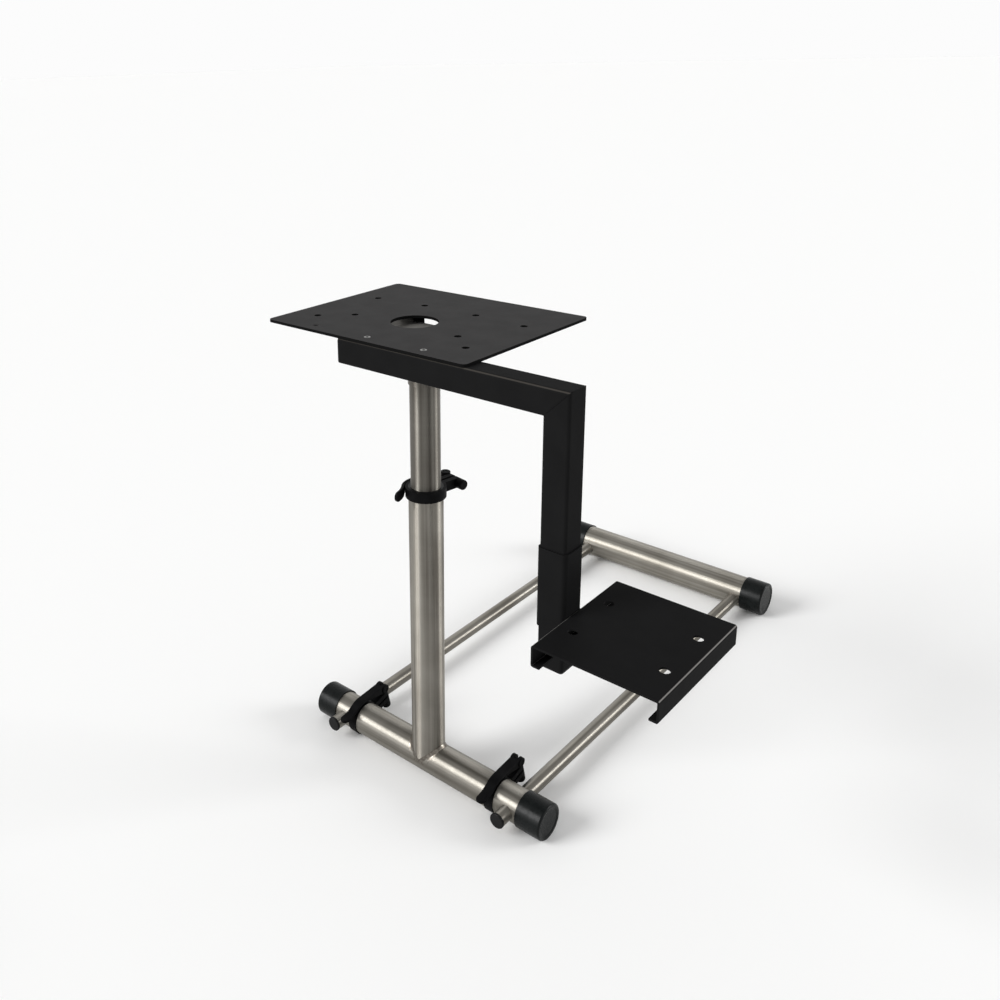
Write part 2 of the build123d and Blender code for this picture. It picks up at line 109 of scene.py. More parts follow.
class NodeSheet:
    """A material's node tree, with a short call for each node that the finishes use."""

    usual_noise: Range = (0.3, 0.7)

    def __init__(self, name: str) -> None:
        """Makes a plain Principled material.

        Args:
            name: the material's name.
        """
        self.material = bpy.data.materials.new(name)
        self.material.use_nodes = True
        self.tree = self.material.node_tree
        self.shader = self.tree.nodes["Principled BSDF"]
        coordinates = self.add("ShaderNodeTexCoord")
        self.place = coordinates.outputs["Object"]
        self.facing = coordinates.outputs["Normal"]

    def add(self, kind: str) -> bpy.types.ShaderNode:
        """Adds one node of that kind."""
        return self.tree.nodes.new(kind)

    def join(self, source: Socket, target: Socket) -> None:
        """Links an output to an input."""
        self.tree.links.new(source, target)

    def feed(self, name: str, source: Socket) -> None:
        """Links an output to the shader's socket of that name."""
        self.join(source, self.shader.inputs[name])

    def set(self, **values: float | Colour) -> None:
        """Sets the shader's own sockets.

        Args:
            values: socket names with underscores for spaces, and their values.
        """
        for name, value in values.items():
            socket = self.shader.inputs[name.replace("_", " ")]
            socket.default_value = (*value, 1.0) if isinstance(value, tuple) else value

    def noise(self, pattern: Pattern, stretch: Triple = (1.0, 1.0, 1.0)) -> Socket:
        """Adds a noise texture in the piece's own metres.

        Args:
            pattern: how fine the noise is.
            stretch: factors on the coordinates, so a small one draws the features out that way.

        Returns:
            The noise's value, from 0 to 1.
        """
        mapping = self.add("ShaderNodeMapping")
        mapping.inputs["Scale"].default_value = stretch
        self.join(self.place, mapping.inputs["Vector"])
        texture = self.add("ShaderNodeTexNoise")
        texture.inputs["Scale"].default_value = pattern.scale
        texture.inputs["Detail"].default_value = pattern.detail
        self.join(mapping.outputs["Vector"], texture.inputs["Vector"])
        return texture.outputs["Fac"]

    def blend(self, first: Socket, second: Socket, share: float) -> Socket:
        """Mixes two values.

        Args:
            first: the value that counts where the share is 0.
            second: the value that counts where the share is 1.
            share: how much of the second value is taken.

        Returns:
            The mixed value.
        """
        mix = self.add("ShaderNodeMix")
        mix.inputs["Factor"].default_value = share
        self.join(first, mix.inputs["A"])
        self.join(second, mix.inputs["B"])
        return mix.outputs["Result"]

    def ramp(self, factor: Socket, stops: Stops) -> Socket:
        """Turns a value into a colour.

        Args:
            factor: the value, from 0 to 1.
            stops: places on the ramp with their colours, from low to high.

        Returns:
            The colour.
        """
        node = self.add("ShaderNodeValToRGB")
        elements = node.color_ramp.elements
        while len(elements) < len(stops):
            elements.new(position=0.5)
        for element, (position, colour) in zip(elements, stops):
            element.position = position
            element.color = (*colour, 1.0)
        self.join(factor, node.inputs["Fac"])
        return node.outputs["Color"]

    def spread(self, factor: Socket, low: float, high: float) -> Socket:
        """Maps a noise's usual range to a range of its own, such as a roughness.

        Args:
            factor: the noise's value.
            low: what a low noise gives.
            high: what a high noise gives.

        Returns:
            The mapped value.
        """
        node = self.add("ShaderNodeMapRange")
        node.inputs["From Min"].default_value, node.inputs["From Max"].default_value = self.usual_noise
        node.inputs["To Min"].default_value = low
        node.inputs["To Max"].default_value = high
        self.join(factor, node.inputs["Value"])
        return node.outputs["Result"]

    def upward(self) -> Socket:
        """Finds how far up the surface faces.

        Returns:
            1 where it faces straight up, 0 where it is upright and -1 where it faces down.
        """
        parts = self.add("ShaderNodeSeparateXYZ")
        self.join(self.facing, parts.inputs["Vector"])
        return parts.outputs["Z"]

    def upper_edges(self) -> Socket:
        """White in the middle of the rounded edges that face partly up, and black elsewhere: the mask of the
        painted edge highlight.
        """
        return self.ramp(self.upward(), UPPER_EDGE_STOPS)

    def upright_faces(self) -> Socket:
        """Finds the upright faces, such as a sheet's cut edges and the walls of its holes, where the painted
        shade goes.

        Returns:
            White on upright faces, and black on level ones.
        """
        level = self.add("ShaderNodeMath")
        level.operation = "ABSOLUTE"
        self.join(self.upward(), level.inputs[0])
        return self.ramp(level.outputs["Value"], UPRIGHT_FACE_STOPS)

    def cover(self, under: Socket, over: Colour, share: Socket) -> Socket:
        """Lays one colour over another.

        Args:
            under: the colour below.
            over: the colour laid over it.
            share: how much of the upper colour shows, from 0 to 1.

        Returns:
            The mixed colour.
        """
        mix = self.add("ShaderNodeMixRGB")
        mix.inputs["Color2"].default_value = (*over, 1.0)
        self.join(share, mix.inputs["Fac"])
        self.join(under, mix.inputs["Color1"])
        return mix.outputs["Color"]

    def relief(self, height: Socket, strength: float, depth: float) -> None:
        """Adds a relief to the surface, over any that is already there.

        Args:
            height: the relief's height, from 0 to 1.
            strength: how strongly it tilts the surface.
            depth: what a height of 1 stands for, in metres.
        """
        bump = self.add("ShaderNodeBump")
        bump.inputs["Strength"].default_value = strength
        bump.inputs["Distance"].default_value = depth
        normal = self.shader.inputs["Normal"]
        if normal.is_linked:
            self.join(normal.links[0].from_socket, bump.inputs["Normal"])
        self.join(height, bump.inputs["Height"])
        self.feed("Normal", bump.outputs["Normal"])


@dataclass(frozen=True)
class BrushedStainless:
    """Stainless tube, polished round its girth, with faint streaks along its length."""

    name: str
    axis: TubeAxis
    dark: Colour = (0.150, 0.138, 0.118)
    light: Colour = (0.290, 0.276, 0.246)
    roughness: float = 0.37
    anisotropy: float = 0.96
    anisotropy_turn: float = 0.25
    streaks: Pattern = Pattern(150.0, 2.0)
    streak_stretch: float = 0.012
    patches: Pattern = Pattern(9.0, 3.0)
    patch_share: float = 0.4
    tone_range: Range = (0.36, 0.62)
    scratches: Pattern = Pattern(26.0, 5.0)
    scratch_stretch: float = 110.0
    scratch_strength: float = 0.10
    scratch_depth: float = 0.05 * MM
    roughness_dip: float = 0.05
    roughness_rise: float = 0.07

    def material(self) -> bpy.types.Material:
        """Builds the finish.

        Returns:
            The new material.
        """
        sheet = NodeSheet(self.name)
        streaks = sheet.noise(self.streaks, self.axis.stretched(self.streak_stretch))
        tone = sheet.blend(streaks, sheet.noise(self.patches), self.patch_share)
        sheet.feed("Base Color", sheet.ramp(tone, tuple(zip(self.tone_range, (self.dark, self.light)))))
        scratches = sheet.noise(self.scratches, self.axis.stretched(self.scratch_stretch))
        low, high = self.roughness - self.roughness_dip, self.roughness + self.roughness_rise
        sheet.feed("Roughness", sheet.spread(scratches, low, high))
        sheet.relief(scratches, self.scratch_strength, self.scratch_depth)
        tangent = sheet.add("ShaderNodeTangent")
        tangent.direction_type = "RADIAL"
        tangent.axis = self.axis.name
        sheet.feed("Tangent", tangent.outputs["Tangent"])
        sheet.set(Metallic=1.0, Anisotropic=self.anisotropy, Anisotropic_Rotation=self.anisotropy_turn)
        return sheet.material


@dataclass(frozen=True)
class PowderCoat:
    """Satin powder coat with a fine orange peel.

    Where a colour is given for it, the coat is painted paler along its upper edges as a painted highlight,
    or darker on its upright faces as painted shade.
    """

    name: str
    colour: Colour
    roughness: float
    gloss: float
    painted_edge_highlight: Colour | None = None
    painted_upright_shade: Colour | None = None
    clouds: Pattern = Pattern(30.0, 4.0)
    cloud_range: Range = (0.35, 0.65)
    cloud_shades: Range = (0.94, 1.06)
    scuffs: Pattern = Pattern(140.0, 6.0)
    scuff_change: float = 0.02
    peel: Pattern = Pattern(1200.0, 2.0)
    peel_strength: float = 0.12
    peel_depth: float = 0.04 * MM
    grain: Pattern = Pattern(2600.0, 1.0)
    grain_strength: float = 0.10
    grain_depth: float = 0.02 * MM

    def material(self) -> bpy.types.Material:
        """Builds the finish.

        Returns:
            The new material.
        """
        sheet = NodeSheet(self.name)
        shades = [tuple(shade * value for value in self.colour) for shade in self.cloud_shades]
        tone = sheet.ramp(sheet.noise(self.clouds), tuple(zip(self.cloud_range, shades)))
        # Painted highlight: the rounded edges that face partly up are painted paler, standing in for the
        # light that they catch.
        if self.painted_edge_highlight:
            tone = sheet.cover(tone, self.painted_edge_highlight, sheet.upper_edges())
        # Painted shade: the upright faces, such as the cut edges and the walls of the holes, are painted
        # darker.
        if self.painted_upright_shade:
            tone = sheet.cover(tone, self.painted_upright_shade, sheet.upright_faces())
        sheet.feed("Base Color", tone)
        low, high = self.roughness - self.scuff_change, self.roughness + self.scuff_change
        sheet.feed("Roughness", sheet.spread(sheet.noise(self.scuffs), low, high))
        sheet.relief(sheet.noise(self.peel), self.peel_strength, self.peel_depth)
        sheet.relief(sheet.noise(self.grain), self.grain_strength, self.grain_depth)
        sheet.set(Specular_IOR_Level=self.gloss)
        return sheet.material


@dataclass(frozen=True)
class MouldedBlack:
    """Black rubber or plastic from a mould, with a fine grain and a soft bloom."""

    name: str
    colour: Colour
    bloom: Colour
    roughness: float
    grain_strength: float
    gloss: float
    clouds: Pattern = Pattern(55.0, 4.0)
    cloud_range: Range = (0.40, 0.72)
    handling: Pattern = Pattern(190.0, 5.0)
    roughness_dip: float = 0.06
    roughness_rise: float = 0.08
    grain: Pattern = Pattern(1500.0, 3.0)
    grain_depth: float = 0.05 * MM

    def material(self) -> bpy.types.Material:
        """Builds the finish.

        Returns:
            The new material.
        """
        sheet = NodeSheet(self.name)
        stops = tuple(zip(self.cloud_range, (self.colour, self.bloom)))
        sheet.feed("Base Color", sheet.ramp(sheet.noise(self.clouds), stops))
        low, high = self.roughness - self.roughness_dip, self.roughness + self.roughness_rise
        sheet.feed("Roughness", sheet.spread(sheet.noise(self.handling), low, high))
        sheet.relief(sheet.noise(self.grain), self.grain_strength, self.grain_depth)
        sheet.set(Specular_IOR_Level=self.gloss)
        return sheet.material


@dataclass(frozen=True)
class BrightMetal:
    """Zinc plate or bare weld metal: cloudy, with fine pits."""

    name: str
    dark: Colour
    light: Colour
    roughness: float
    clouds: Pattern = Pattern(260.0, 5.0)
    cloud_range: Range = (0.35, 0.65)
    roughness_dip: float = 0.05
    roughness_rise: float = 0.08
    pits: Pattern = Pattern(1800.0, 3.0)
    pit_strength: float = 0.12
    pit_depth: float = 0.03 * MM

    def material(self) -> bpy.types.Material:
        """Builds the finish, rougher where it is dark.

        Returns:
            The new material.
        """
        sheet = NodeSheet(self.name)
        cloud = sheet.noise(self.clouds)
        sheet.feed("Base Color", sheet.ramp(cloud, tuple(zip(self.cloud_range, (self.dark, self.light)))))
        low, high = self.roughness - self.roughness_dip, self.roughness + self.roughness_rise
        sheet.feed("Roughness", sheet.spread(cloud, high, low))
        sheet.relief(sheet.noise(self.pits), self.pit_strength, self.pit_depth)
        sheet.set(Metallic=1.0)
        return sheet.material


@dataclass(frozen=True)
class PaleFloor:
    """A matt pale floor."""

    name: str = "pale_floor"
    colour: Colour = (0.95, 0.95, 0.945)
    roughness: float = 0.9
    gloss: float = 0.1

    def material(self) -> bpy.types.Material:
        """Builds the finish.

        Returns:
            The new material.
        """
        sheet = NodeSheet(self.name)
        sheet.set(Base_Color=self.colour, Roughness=self.roughness, Specular_IOR_Level=self.gloss)
        return sheet.material


Finish = BrushedStainless | PowderCoat | MouldedBlack | BrightMetal | PaleFloor

# One stainless steel in several copies, each set lighter or darker to match how bright that tube looks where
# it stands: the differences between them are painted light and shade, and the upper post's dark copy is
# painted shade under the plate and arm.
FRONT_BAR_STAINLESS = BrushedStainless("stainless_front_bar", TubeAxis.X, dark=(0.168, 0.155, 0.132),
                                       light=(0.325, 0.309, 0.276), roughness=0.41)
REAR_BAR_STAINLESS = BrushedStainless("stainless_rear_bar", TubeAxis.X, dark=(0.200, 0.185, 0.158),
                                      light=(0.385, 0.366, 0.327), roughness=0.40)
ROD_STAINLESS = BrushedStainless("stainless_rods", TubeAxis.Y)
LOWER_POST_STAINLESS = BrushedStainless("stainless_lower_post", TubeAxis.Z, dark=(0.157, 0.144, 0.124),
                                        light=(0.337, 0.320, 0.285), roughness=0.43, anisotropy=1.0)
UPPER_POST_STAINLESS = BrushedStainless("stainless_upper_post", TubeAxis.Z, dark=(0.103, 0.094, 0.081),
                                        light=(0.220, 0.209, 0.186), roughness=0.43, anisotropy=1.0)
# The plate's black coat is four to five times paler than the arm's and has little gloss: a painted sheen
# standing in for the pale reflection across the plate's top. Its upright faces get the painted shade.
PLATE_COAT = PowderCoat("plate_powder_coat", (0.0430, 0.0422, 0.0422), roughness=0.58, gloss=0.010,
                        painted_upright_shade=(0.0060, 0.0060, 0.0060))
# The arm's and the shifter's coats are painted paler along their upper edges: a painted highlight for the
# light those edges catch.
ARM_COAT = PowderCoat("arm_powder_coat", (0.0096, 0.0096, 0.0098), roughness=0.52, gloss=0.010,
                      painted_edge_highlight=(0.050, 0.046, 0.041))
SHIFTER_COAT = PowderCoat("shifter_powder_coat", (0.0092, 0.0092, 0.0094), roughness=0.52, gloss=0.010,
                          painted_edge_highlight=(0.24, 0.23, 0.22))
WELD_COAT = PowderCoat("weld_powder_coat", (0.0096, 0.0096, 0.0098), roughness=0.52, gloss=0.010)
BRACKET_COAT = PowderCoat("bracket_grey_coat", (0.150, 0.145, 0.135), roughness=0.60, gloss=0.10)
SKEWER_COAT = PowderCoat("skewer_black_coat", (0.0046, 0.0046, 0.0048), roughness=0.45, gloss=0.04)
CAP_RUBBER = MouldedBlack("cap_rubber", (0.0044, 0.0054, 0.0054), (0.0080, 0.0094, 0.0094),
                          roughness=0.28, grain_strength=0.10, gloss=0.11)
CLAMP_PLASTIC = MouldedBlack("clamp_plastic", (0.0034, 0.0034, 0.0036), (0.0060, 0.0060, 0.0063),
                             roughness=0.45, grain_strength=0.16, gloss=0.03)
PLUG_PLASTIC = MouldedBlack("plug_plastic", (0.0040, 0.0040, 0.0042), (0.0075, 0.0075, 0.0078),
                            roughness=0.36, grain_strength=0.20, gloss=0.12)
ZINC = BrightMetal("zinc_plate", (0.15, 0.15, 0.145), (0.26, 0.26, 0.25), roughness=0.34)
WELD = BrightMetal("weld_metal", (0.110, 0.097, 0.082), (0.220, 0.202, 0.176), roughness=0.30)


class Palette:
    """Keeps one material for each finish."""

    def __init__(self) -> None:
        """Starts with no materials."""
        self._made: dict[str, bpy.types.Material] = {}

    def of(self, finish: Finish) -> bpy.types.Material:
        """Gives a finish's material, made once.

        Args:
            finish: the finish asked for.

        Returns:
            Its material.
        """
        if finish.name not in self._made:
            self._made[finish.name] = finish.material()
        return self._made[finish.name]

    def paint(self, finish: Finish, *nodes: str) -> None:
        """Gives solids their finish.

        Args:
            finish: the finish to give.
            nodes: names of the solids.
        """
        for node in nodes:
            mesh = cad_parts[node].data
            mesh.materials.clear()
            mesh.materials.append(self.of(finish))
            LOG.info("%s: %s", node, finish.name)


@dataclass
class PieceMaker:
    """Turns meshes into pieces that ride on a body."""

    palette: Palette
    smooth_below: float = 35.0

    def add(
        self, name: str, shape: bmesh.types.BMesh, body: str, slot: Slot, finish: Finish
    ) -> bpy.types.Object:
        """Makes a piece, shaded smooth across edges that bend less than smooth_below, in degrees.

        Args:
            name: the piece's name.
            shape: its mesh, in the stand's frame, freed here.
            body: the body that it rides on.
            slot: the record's slot that it belongs to; not used.
            finish: its finish.

        Returns:
            The new object.
        """
        mesh = bpy.data.meshes.new(name)
        bmesh.ops.recalc_face_normals(shape, faces=shape.faces)
        shape.to_mesh(mesh)
        shape.free()
        mesh.shade_smooth()
        mesh.set_sharp_from_angle(angle=math.radians(self.smooth_below))
        mesh.materials.append(self.palette.of(finish))
        piece = bpy.data.objects.new(name, mesh)
        bpy.context.scene.collection.objects.link(piece)
        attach(piece, body)
        LOG.info("%s: %d faces on %s", name, len(mesh.polygons), body)
        return piece


def skin(shape: bmesh.types.BMesh, rings: list[Ring], closed: bool = False) -> None:
    """Joins rings that have the same number of corners with faces.

    Args:
        shape: the mesh that grows.
        rings: the rings, in order.
        closed: whether the last ring joins the first. Otherwise both ends get a face.
    """
    for first, second in zip(rings, rings[1:] + rings[:1] if closed else rings[1:]):
        for side in range(len(first)):
            after = (side + 1) % len(first)
            shape.faces.new((first[side], first[after], second[after], second[side]))
    if not closed:
        shape.faces.new(rings[0])
        shape.faces.new(rings[-1])


@dataclass
class WeldBead:
    """A rippled bead of weld metal along a path, which gives a point for each share of its length."""

    path: Path
    length: float
    radius: float = 1.4 * MM
    pitch: float = 2.1 * MM
    ripple: float = 0.16
    closed: bool = True
    sides: int = 10
    steps_per_ripple: int = 5
    least_ripples: int = 3
    nudge: float = 0.001

    def mesh(self) -> bmesh.types.BMesh:
        """Sweeps the bead.

        Returns:
            A closed tube whose girth swells once a pitch.
        """
        ripples = max(self.least_ripples, round(self.length / self.pitch))
        count = ripples * self.steps_per_ripple
        shape = bmesh.new()
        steps = range(count if self.closed else count + 1)
        rings = [self._ring(shape, step / count, step) for step in steps]
        skin(shape, rings, self.closed)
        return shape

    def _ring(self, shape: bmesh.types.BMesh, share: float, step: int) -> Ring:
        """Adds one ring of the bead.

        Args:
            shape: the mesh that grows.
            share: how far along the path the ring lies, from 0 to 1.
            step: the ring's number, which sets its place in the ripple.

        Returns:
            The ring's corners.
        """
        along = (self.path(share + self.nudge) - self.path(share - self.nudge)).normalized()
        across = along.orthogonal().normalized()
        upright = along.cross(across)
        swell = 1 + self.ripple * (step % self.steps_per_ripple) / self.steps_per_ripple
        girth = self.radius * swell
        centre = self.path(share)
        corners = []
        for side in range(self.sides):
            turn = math.tau * side / self.sides
            offset = girth * (math.cos(turn) * across + math.sin(turn) * upright)
            corners.append(shape.verts.new(centre + offset))
        return corners


@dataclass
class SaddleFillet:
    """A smooth hollow weld round the foot of an upright post on a round bar that lies along X."""

    post: Vector
    post_radius: float
    bar: Vector
    bar_radius: float
    leg: float = 5.0 * MM
    crown: float = 0.15 * MM
    bury: float = 0.8 * MM
    steps: int = 160
    curve_steps: int = 7

    def mesh(self) -> bmesh.types.BMesh:
        """Sweeps the weld round the post.

        Returns:
            A closed ring, hollow towards the open air and buried in the two tubes.
        """
        shape = bmesh.new()
        rings = []
        for step in range(self.steps):
            section = self._section(math.tau * step / self.steps)
            rings.append([shape.verts.new(point) for point in section])
        skin(shape, rings, closed=True)
        return shape

    def _on_bar(self, x: float, y: float, lift: float) -> Vector:
        """Finds a point over the bar's upper half, or beside the bar where it lies out past its side.

        Args:
            x: how far along the bar it lies from the post's axis.
            y: how far across the bar it lies.
            lift: its distance from the bar's surface.

        Returns:
            The point.
        """
        side = max(-1.0, min(1.0, y / self.bar_radius))
        rise = math.sqrt(1.0 - side ** 2)
        reach = self.bar_radius + lift
        return Vector((self.post.x + x, self.bar.y + reach * side, self.bar.z + reach * rise))

    def _section(self, turn: float) -> list[Vector]:
        """Draws the weld's section in one direction from the post.

        Args:
            turn: the direction, in radians from +X.

        Returns:
            The points of the hollow curve from the post down to the bar, then the two buried points.
        """
        out = Vector((math.cos(turn), math.sin(turn), 0.0))
        near, far = self.post_radius * out, (self.post_radius + self.leg) * out
        joint = self._on_bar(near.x, near.y, self.crown) + self.crown * out
        low = self._on_bar(far.x, far.y, self.crown)
        high = joint + Vector((0.0, 0.0, self.leg))
        shares = [step / self.curve_steps for step in range(self.curve_steps + 1)]
        curve = [(1 - s) ** 2 * high + 2 * s * (1 - s) * joint + s ** 2 * low for s in shares]
        return curve + [self._on_bar(far.x, far.y, -self.bury), high - (self.bury + self.crown) * out]


@dataclass
class BentTab:
    """A short wall bent up from the back edge of a level sheet, between a low and a high corner."""

    low: Vector
    high: Vector
    thickness: float = 3.0 * MM
    bend: float = 2.0 * MM
    bend_steps: int = 6
    edge: float = 0.4 * MM
    edge_steps: int = 2

    def mesh(self) -> bmesh.types.BMesh:
        """Draws the tab's side view and runs it along X.

        Returns:
            A closed mesh between the two corners, with the wall at the back.
        """
        inner = self.high.y - self.thickness
        outline = [(self.high.y, self.low.z), (self.high.y, self.high.z), (inner, self.high.z)]
        for step in range(self.bend_steps + 1):
            turn = math.pi / 2 * step / self.bend_steps
            y = inner - self.bend * (1 - math.cos(turn))
            z = self.low.z + self.bend * (1 - math.sin(turn))
            outline.append((y, z))
        shape = bmesh.new()
        ends = [[shape.verts.new((x, y, z)) for y, z in outline] for x in (self.low.x, self.high.x)]
        skin(shape, ends)
        rims = [rim for rim in shape.edges if rim.verts[0].co.x == rim.verts[1].co.x]
        bmesh.ops.bevel(shape, geom=rims, offset=self.edge, segments=self.edge_steps, profile=0.5,
                        affect="EDGES")
        return shape


@dataclass
class SocketBolt:
    """A countersunk bolt with a hexagon socket in its flat top."""

    head_radius: float
    shank_radius: float
    head_depth: float
    length: float
    rim_bevel: float = 0.2 * MM
    tip_bevel: float = 0.6 * MM
    socket_flats: float = 3.6 * MM
    socket_depth: float = 1.3 * MM
    sides: int = 36

    def mesh(self, top: Vector) -> bmesh.types.BMesh:
        """Builds the bolt.

        Args:
            top: the middle of its flat top.

        Returns:
            A closed mesh pointing down from the top.
        """
        rim, shank = self.head_radius, self.shank_radius
        levels = [(self._hexagon, -self.socket_depth), (self._hexagon, 0.0)]
        radii = [(rim - self.rim_bevel, 0.0), (rim, -self.rim_bevel), (shank, -self.head_depth),
                 (shank, self.tip_bevel - self.length), (shank - self.tip_bevel, -self.length)]
        levels += [(lambda turn, r=radius: r, depth) for radius, depth in radii]
        shape = bmesh.new()
        rings = []
        for reach, depth in levels:
            ring = []
            for side in range(self.sides):
                turn = math.tau * side / self.sides
                offset = Vector((math.cos(turn) * reach(turn), math.sin(turn) * reach(turn), depth))
                ring.append(shape.verts.new(top + offset))
            rings.append(ring)
        skin(shape, rings)
        return shape

    def _hexagon(self, turn: float) -> float:
        """Distance from the middle to the socket's wall in one direction."""
        sector = math.tau / 6
        return self.socket_flats / 2 / math.cos((turn + sector / 2) % sector - sector / 2)


@dataclass
class KnurledScrew:
    """A screw with a straight-knurled round head, for turning by hand."""

    head_radius: float
    head_height: float
    shank_radius: float
    shank_length: float
    dish_share: float = 0.55
    teeth: int = 30
    steps_per_tooth: int = 4
    tooth_depth: float = 0.5 * MM
    chamfer: float = 0.8 * MM

    def mesh(self, seat: Vector) -> bmesh.types.BMesh:
        """Builds the screw along +Y.

        Args:
            seat: the middle of the face that the head bears on.

        Returns:
            A closed mesh with its head towards +Y.
        """
        shank, rim, top = self.shank_radius, self.head_radius, self.head_height
        dish = self.dish_share * rim
        levels = [(shank, -self.shank_length, False), (shank, 0.0, False),
                  (rim - self.chamfer, 0.0, False), (rim, self.chamfer, True),
                  (rim, top - self.chamfer, True), (rim - self.chamfer, top, False),
                  (dish + self.chamfer, top, False), (dish, top - self.chamfer, False)]
        sides = self.steps_per_tooth * self.teeth
        shape = bmesh.new()
        rings = []
        for radius, height, toothed in levels:
            ring = []
            for side in range(sides):
                turn = math.tau * side / sides
                in_gap = side % self.steps_per_tooth >= self.steps_per_tooth // 2
                reach = radius - (self.tooth_depth if toothed and in_gap else 0.0)
                offset = Vector((math.cos(turn) * reach, height, math.sin(turn) * reach))
                ring.append(shape.verts.new(seat + offset))
            rings.append(ring)
        skin(shape, rings)
        return shape


def middle(node: str) -> Vector:
    """The middle of a solid's box."""
    low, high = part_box(node)
    return (low + high) / 2


def half_size(node: str) -> Vector:
    """Half of a solid's size along each axis."""
    low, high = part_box(node)
    return (high - low) / 2


@dataclass
class FrontBase:
    """The front crossbar, the lower post welded on it, and their caps and bush."""

    maker: PieceMaker

    def build(self) -> None:
        """Adds the weld between the post and the crossbar."""
        post_radius, bar_radius = half_size("lower_post").x, half_size("front_crossbar").z
        weld = SaddleFillet(middle("lower_post"), post_radius, middle("front_crossbar"), bar_radius)
        self.maker.add("post_weld", weld.mesh(), "front_base", Slot.STAINLESS, WELD)

    def dress(self) -> None:
        """Gives the base's solids their finishes."""
        palette = self.maker.palette
        palette.paint(FRONT_BAR_STAINLESS, "front_crossbar")
        palette.paint(LOWER_POST_STAINLESS, "lower_post")
        palette.paint(CAP_RUBBER, "front_cap_left", "front_cap_right")
        palette.paint(PLUG_PLASTIC, "post_bush")


@dataclass
class RearBase:
    """The rear crossbar with its caps, and the rods welded into it."""

    maker: PieceMaker
    bead_radius: float = 1.0 * MM

    def build(self) -> None:
        """Adds a weld where each rod meets the rear crossbar."""
        for side in ("left", "right"):
            self._add_rod_weld(side)

    def _add_rod_weld(self, side: str) -> None:
        """Adds the weld of one rod.

        Args:
            side: which of the two rods.
        """
        bar = middle("rear_crossbar")
        bar_radius = half_size("rear_crossbar").z
        rod = middle("slide_rod_" + side)
        rod_radius = half_size("slide_rod_" + side).x

        def ring(share: float) -> Vector:
            """Follows the curve where the rod meets the crossbar.

            Args:
                share: how far round the curve, from 0 to 1.

            Returns:
                A point of the curve.
            """
            turn = math.tau * share
            z = rod.z + rod_radius * math.sin(turn)
            depth = math.sqrt(bar_radius ** 2 - (z - bar.z) ** 2)
            return Vector((rod.x + rod_radius * math.cos(turn), bar.y - depth, z))

        bead = WeldBead(ring, length=math.tau * rod_radius, radius=self.bead_radius)
        self.maker.add("rod_weld_" + side, bead.mesh(), "rear_base", Slot.STAINLESS, WELD)

    def dress(self) -> None:
        """Gives the base's solids their finishes."""
        palette = self.maker.palette
        palette.paint(REAR_BAR_STAINLESS, "rear_crossbar")
        palette.paint(ROD_STAINLESS, "slide_rod_left", "slide_rod_right")
        palette.paint(CAP_RUBBER, "rear_cap_left", "rear_cap_right")
        palette.paint(PLUG_PLASTIC, "rod_tip_left", "rod_tip_right")


@dataclass
class Mast:
    """The upper post with its head, and the wheel plate.

    The tab's end is measured along X from the post's axis.
    """

    maker: PieceMaker
    bead_radius: float = 1.3 * MM
    tab_end: float = -20.4 * MM
    bracket_sheet: float = 4.0 * MM

    def build(self) -> None:
        """Adds the tab and the weld of the post's head."""
        self._add_bracket_tab()
        self._add_head_weld()

    def _add_bracket_tab(self) -> None:
        """Adds the tab that closes the left half of the head bracket's back. It wears the plate's black coat
        so that it shows black there: a dark sheet standing in for the shade under the plate, painted shade.
        """
        low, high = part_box("head_bracket")
        inside = Vector((low.x + self.bracket_sheet, low.y, low.z + self.bracket_sheet))
        end = Vector((middle("upper_post").x + self.tab_end, high.y, high.z))
        self.maker.add("bracket_tab", BentTab(inside, end).mesh(), "mast", Slot.BLACK_STEEL, PLATE_COAT)

    def _add_head_weld(self) -> None:
        """Adds the weld under the head bracket."""
        sleeve = middle("head_sleeve")
        radius = half_size("head_sleeve").x
        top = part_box("head_sleeve")[1].z

        def ring(share: float) -> Vector:
            """A point of the sleeve's top edge, by the share of a turn."""
            turn = math.tau * share
            return Vector((sleeve.x + radius * math.cos(turn), sleeve.y + radius * math.sin(turn), top))

        bead = WeldBead(ring, length=math.tau * radius, radius=self.bead_radius)
        self.maker.add("head_weld", bead.mesh(), "mast", Slot.STAINLESS, WELD)

    def dress(self) -> None:
        """Gives the mast's solids their finishes."""
        palette = self.maker.palette
        palette.paint(UPPER_POST_STAINLESS, "upper_post", "head_sleeve")
        palette.paint(BRACKET_COAT, "head_bracket")
        palette.paint(PLATE_COAT, "wheel_plate")
        palette.paint(PLUG_PLASTIC, "guide_bush")


